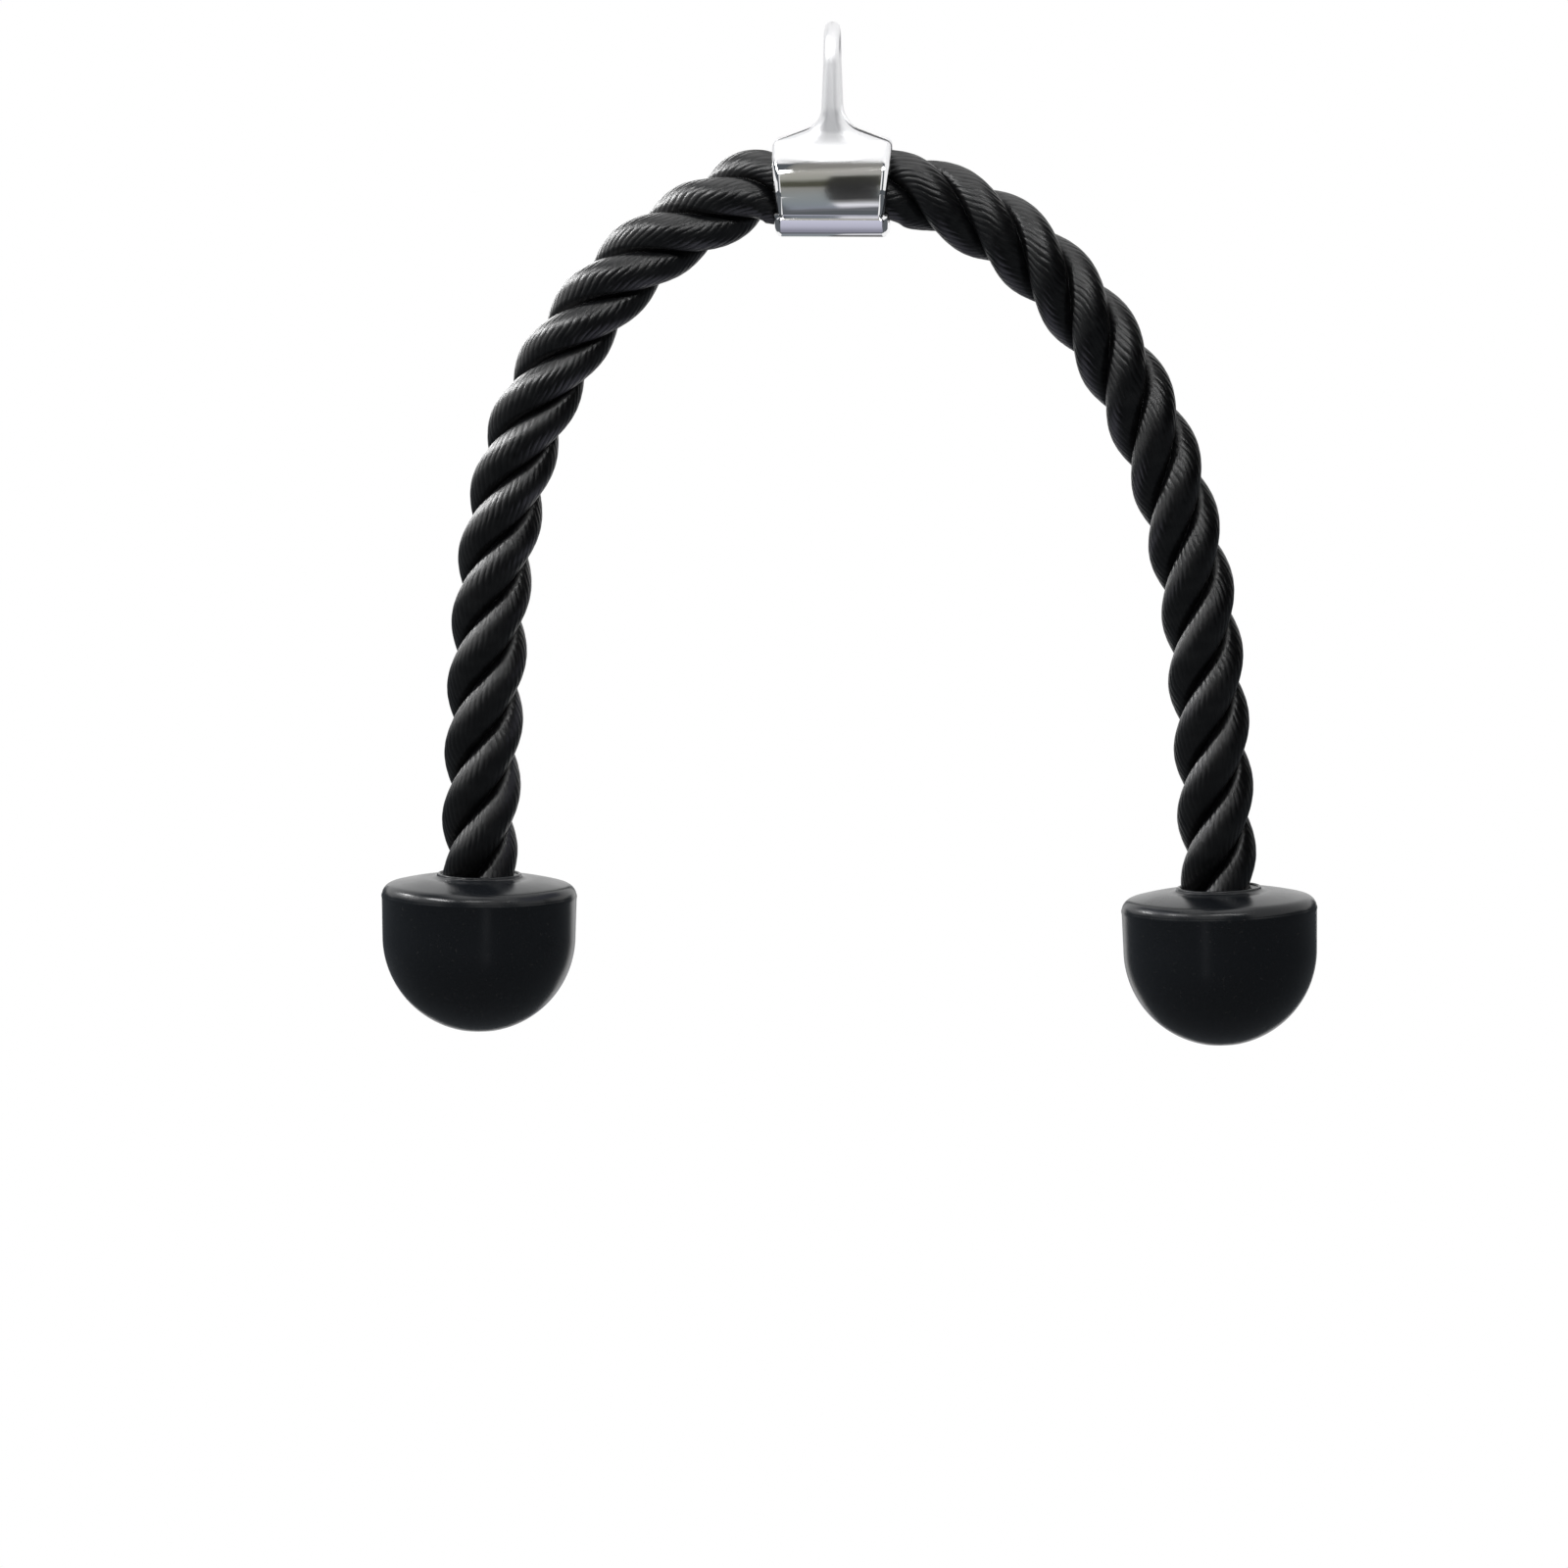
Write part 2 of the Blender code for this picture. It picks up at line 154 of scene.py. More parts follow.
# Rope: three strands laid right-handed round one centreline that repeats the CAD route
ropeLook = {
    "diameter": 0.0254,
    "lay": 0.06735,             # run of one full turn of a strand
    "firstTurn": math.radians(23.0),
    "loose": 1.028,             # the free rope is fuller than where the sleeve and the ball grip it
    "looseRun": 0.009,
    "strandRadius": 0.0076,     # roundness of each strand's outer face
    "grooveDepth": 0.0018,      # narrow cleft where two strands meet
    "grooveShare": 0.24,
    "yarnCount": 24,            # yarns round one strand
    "yarnDepth": 0.00032,
    "yarnShift": 0.37,          # yarns by which each strand starts later than the one before
    "yarnUneven": 0.18,         # the thinnest yarns lack twice this share of the thickest one's height
    "yarnShuffle": (12.9898, 3.1),
    "yarnFade": (1.06, 0.16),   # the relief flattens towards the cleft: where it would end, over what share
    "wander": 0.175,            # yarns by which one strays from its even place
    "wanderWaves": ((1.0, 210, 2.1, 2.4), (0.6, 93, -3.7, 4.1)),    # size, along, round the strand, by strand
    "swellWaves": ((0.012, 71, 2.2), (0.008, 33, 4.4)),             # size, along, by strand
    "around": 288,
    "step": 0.00064,
    "probe": 0.0006,            # how far either side of a ring its direction is measured
    "joinRun": 0.150,           # where the upper and lower stretch of a leg meet
    "pathPoints": 24,
}

# Places that the CAD sets: half the sleeve's width, the straight run out of its mouth, the height of
# the rope in it, how far the rope goes on past the ball's lip, and how closely its route is sampled
sleeveHalf = 0.0197
mouthRun = 0.0025
ropeHeight = -0.050
lipToEnd = 0.0391
routeSpacing = 0.001

# Each leg's points from the sleeve's edge: outwards, downwards
leftRoute = [
    (0.0187, 0.0072), (0.0358, 0.0175), (0.0509, 0.0305), (0.0692, 0.0542), (0.0822, 0.0812),
    (0.0902, 0.1101), (0.0953, 0.1497), (0.0973, 0.1897), (0.0986, 0.2295),
]
rightRoute = [
    (0.0193, 0.0052), (0.0369, 0.0147), (0.0521, 0.0275), (0.0707, 0.0509), (0.0849, 0.0773),
    (0.0949, 0.1055), (0.1032, 0.1448), (0.1074, 0.1886), (0.1097, 0.2327),
]
leftLean = math.radians(0.5)
rightLean = math.radians(1.5)


# Curve with continuous bend through the route's points, as the CAD makes it
def smoothCurve(points, startDirection, endDirection, spacing):
    knots = np.array(points, float)
    steps = np.diff(knots, axis=0)
    spans = np.linalg.norm(steps, axis=1)
    slopes = steps / spans[:, None]
    count = len(knots)
    system = np.eye(count)
    target = np.zeros((count, 3))
    target[0], target[-1] = startDirection, endDirection
    for i in range(1, count - 1):
        before, after = spans[i - 1], spans[i]
        system[i, i - 1:i + 2] = after, 2 * (before + after), before
        target[i] = 3 * (after * slopes[i - 1] + before * slopes[i])
    tangents = np.linalg.solve(system, target)
    samples = []
    for i in range(count - 1):
        divisions = max(2, round(spans[i] / spacing))
        for share in np.arange(divisions) / divisions:
            samples.append(
                (1 + 2 * share) * (1 - share) ** 2 * knots[i]
                + share * (1 - share) ** 2 * spans[i] * tangents[i]
                + share ** 2 * (3 - 2 * share) * knots[i + 1]
                + share ** 2 * (share - 1) * spans[i] * tangents[i + 1]
            )
    samples.append(knots[-1])
    return np.array(samples)


# Centreline from the middle of the sleeve down one leg; a run is counted from the sleeve's edge
class Leg:
    def __init__(self, side, route, lean):
        self.side = side
        outward = np.array((side, 0.0, 0.0))
        edge = np.array((side * sleeveHalf, 0.0, ropeHeight))
        self.hang = np.array((side * math.sin(lean), 0.0, -math.cos(lean)))
        points = [edge + outward * mouthRun]
        points += [edge + np.array((side * out, 0.0, -down)) for out, down in route]
        curve = smoothCurve(points, outward, self.hang, routeSpacing)
        self.lip = curve[-1]
        middle = np.array((0.0, 0.0, ropeHeight))
        self.samples = np.vstack([middle, edge, curve, self.lip + self.hang * lipToEnd])
        spans = np.linalg.norm(np.diff(self.samples, axis=0), axis=1)
        self.runs = np.concatenate([[0.0], np.cumsum(spans)]) - sleeveHalf

    def at(self, run):
        return np.stack([np.interp(run, self.runs, self.samples[:, axis]) for axis in range(3)], -1)


# The surface of the laid rope at these turns round it and places along it. It gives the distance from
# the centreline, and for the material the yarn's number, the place along in millimetres and the share of
# the way to the cleft.
def strandSurface(turn, along, loose):
    look = ropeLook
    radius = look["diameter"] / 2
    arc = look["strandRadius"]
    offset = radius - arc
    third = fullTurn / 3
    strandTurn = fullTurn * along / look["lay"] + look["firstTurn"]
    local = turn - strandTurn
    index = np.round(local / third)
    phi = local - index * third
    reach = offset * np.cos(phi) + np.sqrt(arc ** 2 - (offset * np.sin(phi)) ** 2)
    share = np.abs(phi) / (third / 2)
    cleft = np.clip((share - 1 + look["grooveShare"]) / look["grooveShare"], 0, 1)
    reach = reach - look["grooveDepth"] * cleft ** 2
    psi = np.arctan2(reach * np.sin(phi), reach * np.cos(phi) - offset)
    backTwist = fullTurn / look["lay"] * radius / arc
    strand = np.mod(index, 3)
    stray = look["wander"] * sum(
        size * np.sin(along * lengthwise + psi * around + strand * start)
        for size, lengthwise, around, start in look["wanderWaves"]
    )
    yarn = look["yarnCount"] * (psi + backTwist * along) / fullTurn + stray + strand * look["yarnShift"]
    cell = np.floor(yarn)
    within = 2 * (yarn - cell) - 1
    byYarn, byStrand = look["yarnShuffle"]
    size = 1 - look["yarnUneven"] + look["yarnUneven"] * np.sin(cell * byYarn + strand * byStrand)
    ridge = size * np.sqrt(np.clip(1 - within ** 2, 0, 1))
    fadeEnd, fadeRun = look["yarnFade"]
    fade = np.clip((fadeEnd - share) / fadeRun, 0, 1)
    swell = 1 + sum(
        size * np.sin(along * lengthwise + strand * start) for size, lengthwise, start in look["swellWaves"]
    )
    reach = reach * swell * loose + look["yarnDepth"] * (ridge - 1) * fade
    return reach, np.stack([yarn, np.broadcast_to(along * 1000, yarn.shape), share], -1)


# One closed mesh of rings. Past a join it measures a spare ring, so that both sides are shaded alike.
def ropeStretch(name, leg, start, end):
    probe = ropeLook["probe"]
    rings = max(2, round((end - start) / ropeLook["step"]) + 1)
    before, beyond = int(start > -sleeveHalf), int(end < leg.runs[-1])
    runs = start + (end - start) / (rings - 1) * np.arange(-before, rings + beyond)
    centres = leg.at(runs)
    tangents = leg.at(runs + probe) - leg.at(runs - probe)
    if start <= -sleeveHalf:
        tangents[0] = leg.at(start + 2 * probe) - centres[0]
    if end >= leg.runs[-1] - probe:
        tangents[-1] = centres[-1] - leg.at(end - 2 * probe)
    tangents *= leg.side / np.linalg.norm(tangents, axis=1)[:, None]
    front = np.array((0.0, -1.0, 0.0))
    ups = np.cross(tangents, -front)
    around = ropeLook["around"]
    turns = np.arange(around) / around * fullTurn
    along = leg.side * (sleeveHalf + runs)
    free = np.minimum(runs, leg.runs[-1] - lipToEnd - runs) / ropeLook["looseRun"]
    free = np.clip(free, 0, 1)
    loose = 1 + (ropeLook["loose"] - 1) * free * free * (3 - 2 * free)
    reach, field = strandSurface(turns[None, :], along[:, None], loose[:, None])
    spots = centres[:, None, :] + reach[..., None] * (
        np.cos(turns)[None, :, None] * ups[:, None, :] + np.sin(turns)[None, :, None] * front
    )
    sideways, lengthwise = np.roll(spots, -1, 1) - np.roll(spots, 1, 1), np.gradient(spots, axis=0)
    normals = np.cross(sideways, lengthwise) * leg.side
    normals /= np.linalg.norm(normals, axis=2)[..., None]
    spots, field, normals, centres, tangents = (
        rows[before:before + rings] for rows in (spots, field, normals, centres, tangents)
    )
    verts = np.vstack([spots.reshape(-1, 3), centres[:1], centres[-1:]])
    ends = np.stack([-tangents[0], tangents[-1]]) * leg.side
    field = np.vstack([field.reshape(-1, 3), field[0, :1], field[-1, :1]])
    ring = np.arange(around)
    after = np.roll(ring, -1)
    faces = []
    for i in range(rings - 1):
        low, high = i * around, (i + 1) * around
        faces.append(np.stack([low + ring, low + after, high + after, high + ring], 1))
    quads = np.vstack(faces)
    firstCap = np.stack([np.full(around, rings * around), after, ring], 1)
    last = (rings - 1) * around
    lastCap = np.stack([np.full(around, rings * around + 1), last + ring, last + after], 1)
    if leg.side < 0:
        quads, firstCap, lastCap = quads[:, ::-1], firstCap[:, ::-1], lastCap[:, ::-1]
    mesh = bpy.data.meshes.new(name)
    mesh.from_pydata(verts.tolist(), [], quads.tolist() + firstCap.tolist() + lastCap.tolist())
    attribute = mesh.attributes.new("ropeField", "FLOAT_VECTOR", "POINT")
    attribute.data.foreach_set("vector", field.astype(np.float32).ravel())
    mesh.shade_smooth()
    sharp = mesh.attributes.new("sharp_face", "BOOLEAN", "FACE")
    flags = np.zeros(len(mesh.polygons), bool)
    flags[len(quads):] = True
    sharp.data.foreach_set("value", flags)
    mesh.update()
    mesh.validate()
    mesh.normals_split_custom_set_from_vertices(np.vstack([normals.reshape(-1, 3), ends]).tolist())
    piece = bpy.data.objects.new(name, mesh)
    bpy.context.scene.collection.objects.link(piece)
    return piece, leg.at(np.linspace(start, end, ropeLook["pathPoints"]))


# Materials

# Fine filaments that run along each yarn, and patches where the rope is worn
grainLook = {
    "filamentStretch": (7.0, 0.55, 1.0),    # across the yarn, along it, towards the cleft
    "filamentDetail": 4.0, "filamentRoughness": 0.6,
    "patchScale": 0.22, "patchDetail": 3.0, "patchEdges": (0.42, 0.75),
}


def yarnGrainGroup(look):
    group = bpy.data.node_groups.new("yarnGrain", "ShaderNodeTree")
    for name in ("Filaments", "Wear"):
        socket = group.interface.new_socket(name, in_out="INPUT", socket_type="NodeSocketFloat")
        socket.default_value = 1.0
    for name in ("Height", "Worn"):
        group.interface.new_socket(name, in_out="OUTPUT", socket_type="NodeSocketFloat")
    nodes, links = group.nodes, group.links
    enter, leave = nodes.new("NodeGroupInput"), nodes.new("NodeGroupOutput")
    field = addNode(nodes, "ShaderNodeAttribute", {"attribute_name": "ropeField"})
    stretch = addNode(nodes, "ShaderNodeMapping", {"vector_type": "POINT"})
    stretch.inputs["Scale"].default_value = look["filamentStretch"]
    links.new(field.outputs["Vector"], stretch.inputs["Vector"])
    filaments = addNode(nodes, "ShaderNodeTexNoise", values={
        "Scale": 1.0, "Detail": look["filamentDetail"], "Roughness": look["filamentRoughness"],
    })
    links.new(stretch.outputs[0], filaments.inputs["Vector"])
    height = addNode(nodes, "ShaderNodeMath", {"operation": "MULTIPLY"})
    links.new(filaments.outputs["Fac"], height.inputs[0])
    links.new(enter.outputs["Filaments"], height.inputs[1])
    links.new(height.outputs[0], leave.inputs["Height"])
    patches = addNode(nodes, "ShaderNodeTexNoise", values={
        "Scale": look["patchScale"], "Detail": look["patchDetail"],
    })
    links.new(field.outputs["Vector"], patches.inputs["Vector"])
    worn = blackToWhite(nodes, look["patchEdges"])
    links.new(patches.outputs["Fac"], worn.inputs[0])
    wornMix = addNode(nodes, "ShaderNodeMath", {"operation": "MULTIPLY"})
    links.new(worn.outputs["Color"], wornMix.inputs[0])
    links.new(enter.outputs["Wear"], wornMix.inputs[1])
    links.new(wornMix.outputs[0], leave.inputs["Worn"])
    return group


# Uneven gloss, fine scratches and specks of dust on a finished surface, from object coordinates
wearLook = {
    "cloudDetail": 5.0, "cloudRoughness": 0.62,
    "scratchStretch": (60.0, 900.0, 900.0), "scratchDetail": 2.0, "scratchRoughness": 0.5,
    "reliefRange": (0.35, 1.0),             # the relief that gives the lowest and the highest roughness
    "speckScale": 900.0, "speckDetail": 2.0, "speckEdges": (0.66, 0.74),
}


def surfaceWearGroup(look):
    group = bpy.data.node_groups.new("surfaceWear", "ShaderNodeTree")
    for name, value in (("Scale", 120.0), ("Scratches", 0.5), ("Low", 0.2), ("High", 0.4)):
        socket = group.interface.new_socket(name, in_out="INPUT", socket_type="NodeSocketFloat")
        socket.default_value = value
    for name in ("Roughness", "Height", "Dust"):
        group.interface.new_socket(name, in_out="OUTPUT", socket_type="NodeSocketFloat")
    nodes, links = group.nodes, group.links
    enter, leave = nodes.new("NodeGroupInput"), nodes.new("NodeGroupOutput")
    place = nodes.new("ShaderNodeTexCoord")
    cloud = addNode(nodes, "ShaderNodeTexNoise", values={
        "Detail": look["cloudDetail"], "Roughness": look["cloudRoughness"],
    })
    links.new(place.outputs["Object"], cloud.inputs["Vector"])
    links.new(enter.outputs["Scale"], cloud.inputs["Scale"])
    streaks = addNode(nodes, "ShaderNodeMapping", {"vector_type": "POINT"})
    streaks.inputs["Scale"].default_value = look["scratchStretch"]
    links.new(place.outputs["Object"], streaks.inputs["Vector"])
    lines = addNode(nodes, "ShaderNodeTexNoise", values={
        "Scale": 1.0, "Detail": look["scratchDetail"], "Roughness": look["scratchRoughness"],
    })
    links.new(streaks.outputs[0], lines.inputs["Vector"])
    relief = addNode(nodes, "ShaderNodeMath", {"operation": "MULTIPLY_ADD"})
    links.new(lines.outputs["Fac"], relief.inputs[0])
    links.new(enter.outputs["Scratches"], relief.inputs[1])
    links.new(cloud.outputs["Fac"], relief.inputs[2])
    gloss = mapRange(nodes, look["reliefRange"])
    links.new(relief.outputs[0], gloss.inputs[0])
    links.new(enter.outputs["Low"], gloss.inputs[3])
    links.new(enter.outputs["High"], gloss.inputs[4])
    links.new(gloss.outputs[0], leave.inputs["Roughness"])
    links.new(relief.outputs[0], leave.inputs["Height"])
    specks = addNode(nodes, "ShaderNodeTexNoise", values={
        "Scale": look["speckScale"], "Detail": look["speckDetail"],
    })
    links.new(place.outputs["Object"], specks.inputs["Vector"])
    dust = blackToWhite(nodes, look["speckEdges"])
    links.new(specks.outputs["Fac"], dust.inputs[0])
    links.new(dust.outputs["Color"], leave.inputs["Dust"])
    return group


def placeGroup(nodes, group, values):
    node = nodes.new("ShaderNodeGroup")
    node.node_tree = group
    for key, value in values.items():
        node.inputs[key].default_value = value
    return node


yarnGrain = yarnGrainGroup(grainLook)
surfaceWear = surfaceWearGroup(wearLook)


def placeWear(nodes, look):
    low, high = look["gloss"]
    sizes = {"Scale": look["grainScale"], "Scratches": look["scratches"]}
    return placeGroup(nodes, surfaceWear, {**sizes, "Low": low, "High": high})


# Relief that the light shows, from the height that a group gives
def addBump(nodes, links, shader, height, look):
    strength, distance = look["bump"]
    bump = addNode(nodes, "ShaderNodeBump", values={"Strength": strength, "Distance": distance})
    links.new(height, bump.inputs["Height"])
    links.new(bump.outputs[0], shader.inputs["Normal"])


nylonLook = {
    "dark": (0.0014, 0.0015, 0.0019),
    "worn": (0.0060, 0.0063, 0.0067),
    "roughness": (0.28, 0.38),
    "specular": 0.50,
    "bump": (0.40, 0.0002),     # strength, depth in metres
}


def blackNylon(look):
    material, nodes, links = newMaterial("blackNylonRope")
    shader = nodes["Principled BSDF"]
    shader.inputs["Specular IOR Level"].default_value = look["specular"]
    grain = placeGroup(nodes, yarnGrain, {"Filaments": 1.0, "Wear": 1.0})
    colour = mixColours(nodes, links, grain.outputs["Worn"], look["dark"], look["worn"])
    links.new(colour, shader.inputs["Base Color"])
    rough = mapRange(nodes, (0.0, 1.0), look["roughness"])
    links.new(grain.outputs["Height"], rough.inputs[0])
    links.new(rough.outputs[0], shader.inputs["Roughness"])
    addBump(nodes, links, shader, grain.outputs["Height"], look)
    return material


chromeLook = {
    "colour": (0.86, 0.86, 0.87),
    "gloss": (0.02, 0.06),
    "grainScale": 90.0,
    "scratches": 0.3,
    "dull": 0.46,               # roughness that the forged flare and the eye have on top
    "dullHeights": (-0.0422, -0.0385),
    "bump": (0.04, 0.0001),
}


def polishedChrome(look):
    material, nodes, links = newMaterial("polishedChrome")
    shader = nodes["Principled BSDF"]
    shader.inputs["Base Color"].default_value = (*look["colour"], 1)
    shader.inputs["Metallic"].default_value = 1.0
    wear = placeWear(nodes, look)
    place = nodes.new("ShaderNodeTexCoord")
    split = nodes.new("ShaderNodeSeparateXYZ")
    links.new(place.outputs["Object"], split.inputs[0])
    dull = mapRange(nodes, look["dullHeights"], (0.0, look["dull"]), "SMOOTHSTEP")
    links.new(split.outputs["Z"], dull.inputs[0])
    total = addNode(nodes, "ShaderNodeMath", {"operation": "ADD"})
    links.new(wear.outputs["Roughness"], total.inputs[0])
    links.new(dull.outputs[0], total.inputs[1])
    links.new(total.outputs[0], shader.inputs["Roughness"])
    addBump(nodes, links, shader, wear.outputs["Height"], look)
    return material


rubberLook = {
    "colour": (0.0062, 0.0074, 0.0092),
    "dust": (0.02, 0.02, 0.02),
    "gloss": (0.20, 0.32),
    "grainScale": 60.0,
    "scratches": 0.15,
    "specular": 0.33,
    "bump": (0.12, 0.0002),
}


def glossyRubber(look):
    material, nodes, links = newMaterial("glossyBlackRubber")
    shader = nodes["Principled BSDF"]
    shader.inputs["Specular IOR Level"].default_value = look["specular"]
    wear = placeWear(nodes, look)
    colour = mixColours(nodes, links, wear.outputs["Dust"], look["colour"], look["dust"])
    links.new(colour, shader.inputs["Base Color"])
    links.new(wear.outputs["Roughness"], shader.inputs["Roughness"])
    addBump(nodes, links, shader, wear.outputs["Height"], look)
    return material


zincLook = {
    "bright": (0.62, 0.63, 0.61),
    "dull": (0.38, 0.39, 0.38),
    "gloss": (0.28, 0.48),
    "grainScale": 260.0,
    "scratches": 0.4,
}


def zincPlate(look):
    material, nodes, links = newMaterial("zincPlatedSteel")
    shader = nodes["Principled BSDF"]
    shader.inputs["Metallic"].default_value = 1.0
    wear = placeWear(nodes, look)
    colour = mixColours(nodes, links, wear.outputs["Height"], look["bright"], look["dull"])
    links.new(colour, shader.inputs["Base Color"])
    links.new(wear.outputs["Roughness"], shader.inputs["Roughness"])
    return material


ropeMaterial = blackNylon(nylonLook)
chromeMaterial = polishedChrome(chromeLook)
rubberMaterial = glossyRubber(rubberLook)
zincMaterial = zincPlate(zincLook)
print("materials made")


# Rope legs, each in an upper and a lower stretch. The table gives each stretch a straight bend zone, which
# starts on the rope at its run and points outwards and down by its dip; the stretches are not bent along it.
bendZones = {
    "upper": {"startRun": 0.0009, "dip": math.radians(32.0), "length": 0.1253},
    "lower": {"startRun": 0.1494, "dip": math.radians(78.5), "length": 0.0400},
}


def bendAcross(piece, leg, zone):
    start = leg.at(zone["startRun"])
    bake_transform(piece)


def ropeLeg(name, side, route, lean):
    leg = Leg(side, route, lean)
    join = ropeLook["joinRun"]
    upper, upperPath = ropeStretch("rope_" + name + "_top", leg, -sleeveHalf, join)
    lower, lowerPath = ropeStretch("rope_" + name + "_grip", leg, join, leg.runs[-1])
    for piece in (upper, lower):
        piece.data.materials.append(ropeMaterial)
        ropePieces.append(piece)
    bendAcross(upper, leg, bendZones["upper"])
    bendAcross(lower, leg, bendZones["lower"])
    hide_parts("rope_center", "rope_" + name + "_upper")
    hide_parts("rope_" + name + "_lower")
    print("rope leg", name, "run", round(float(leg.runs[-1]), 4))
    return leg


ropePieces = []
leftLeg = ropeLeg("left", -1.0, leftRoute, leftLean)
rightLeg = ropeLeg("right", 1.0, rightRoute, rightLean)


# Hanger: the strap's own solid, its facets shaded as one smooth plated surface with crisp edges
hangerLook = {"smoothBelow": math.radians(42), "largeFaceWeight": 60}


def hangerSkin():
    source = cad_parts["hanger_strap"]
    skin = source.copy()
    skin.data = source.data.copy()
    skin.name = "hanger_skin"
    skin.parent = None
    skin.matrix_world = Matrix.Identity(4)
    bpy.context.scene.collection.objects.link(skin)
    activate(skin)
    bpy.ops.object.mode_set(mode="EDIT")
    bpy.ops.mesh.select_all(action="SELECT")
    bpy.ops.mesh.remove_doubles(threshold=weldDistance)
    bpy.ops.object.mode_set(mode="OBJECT")
    bpy.ops.mesh.customdata_custom_splitnormals_clear()
    bpy.ops.object.shade_smooth_by_angle(angle=hangerLook["smoothBelow"])
    weighted = skin.modifiers.new("evenNormals", "WEIGHTED_NORMAL")
    weighted.keep_sharp = True
    weighted.weight = hangerLook["largeFaceWeight"]
    bpy.ops.object.modifier_apply(modifier=weighted.name)
    skin.data.materials.clear()
    skin.data.materials.append(chromeMaterial)
    return skin


hanger = hangerSkin()
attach(hanger, "hanger")
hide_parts("hanger_strap")
print("hanger made:", len(hanger.data.polygons), "faces")


# End balls: one turned profile with a lip, a trumpet foot, a rim, a parting bead and a gate mark
ballLook = {
    "diameter": 0.0654, "height": 0.0500, "draft": 0.0003, "poleFlat": 0.0070,
    "rimRound": 0.0042, "rimDrop": 0.0007, "rimShare": 0.84,        # the rim turns by this share of a quarter
    "lipHeight": 0.0040, "lipDrop": 0.0012, "lipWall": 0.0012, "lipSteps": 10,
    "foot": 0.0175, "footSteps": 12,
    "faceRise": 0.0013, "faceCurve": 1.4, "faceSteps": 9,           # the top face is a shallow dome
    "beadBelow": 0.0050, "beadWidth": 0.0011, "beadStand": 0.00016,
    "bore": 0.0130, "mouth": 0.0107, "mouthEase": 0.0004, "mouthDeep": 0.0050,
    "washerPocket": 0.0188, "ferrulePocket": 0.0158, "shelf": -0.0160, "step": -0.0186, "floor": -0.0394,
    "gateRadius": 0.0026, "gateDepth": 0.0005, "gateEase": 0.0003,
    "nib": ((0.42, 1.0), (0.36, 0.5), (0.0, 0.4)),                  # shares of the gate's radius and depth
    "rimSteps": 12, "domeSteps": 26, "turns": 112, "smoothBelow": math.radians(38),
}


# Half section from the pockets out through the mouth and down to the pole: distance from the axis, height
def ballProfile(look):
    radius = look["diameter"] / 2
    crest = -look["lipHeight"]
    lipRound = look["lipWall"] / 2
    lipLevel = -look["lipDrop"] - lipRound
    quarter = math.pi / 2
    profile = [
        (0.0, look["floor"]), (look["ferrulePocket"], look["floor"]), (look["ferrulePocket"], look["step"]),
        (look["washerPocket"], look["step"]), (look["washerPocket"], look["shelf"]),
        (look["bore"], look["shelf"]), (look["bore"], -look["mouthDeep"]),
        (look["mouth"], -look["mouthDeep"] * 0.6),
        (look["mouth"] + look["mouthEase"], lipLevel - lipRound * 0.6),
    ]
    profile += arcPoints(
        (look["bore"] + lipRound, lipLevel), lipRound, lipRound, 2 * quarter, 0.0, look["lipSteps"]
    )
    footRun = look["foot"] - look["bore"] - look["lipWall"]
    footHeight = crest + look["faceRise"]
    profile += arcPoints(
        (look["foot"], lipLevel), footRun, lipLevel - footHeight, 2 * quarter, 3 * quarter, look["footSteps"]
    )[1:]
    rim = arcPoints(
        (radius - look["rimRound"], crest - look["rimDrop"] - look["rimRound"]),
        look["rimRound"], look["rimRound"], quarter * look["rimShare"], 0.0, look["rimSteps"],
    )
    rimStart, rimTop = rim[0]
    for step in range(1, look["faceSteps"]):
        share = step / look["faceSteps"]
        out = look["foot"] + (rimStart - look["foot"]) * share
        profile.append((out, footHeight - (footHeight - rimTop) * share ** look["faceCurve"]))
    profile += rim
    line, edge = crest - look["beadBelow"], look["beadWidth"] / 2
    for stand, height in ((0.0, 1.2), (0.8, 0.4), (0.8, -0.4), (0.0, -1.2)):
        profile.append((radius + look["beadStand"] * stand, line + edge * height))
    domeRadius = radius - look["draft"]
    domeHeight = math.sqrt(domeRadius ** 2 - look["poleFlat"] ** 2)
    domeCentre = crest - look["height"] + domeHeight
    flatTurn = -math.atan2(domeHeight, look["poleFlat"])
    profile += arcPoints((0.0, domeCentre), domeRadius, domeRadius, 0.0, flatTurn, look["domeSteps"])
    pole, gate, dip, ease = crest - look["height"], look["gateRadius"], look["gateDepth"], look["gateEase"]
    profile += [(gate + ease, pole), (gate, pole + dip * 0.4), (gate - ease, pole + dip)]
    profile += [(gate * out, pole + dip * deep) for out, deep in look["nib"]]
    return profile


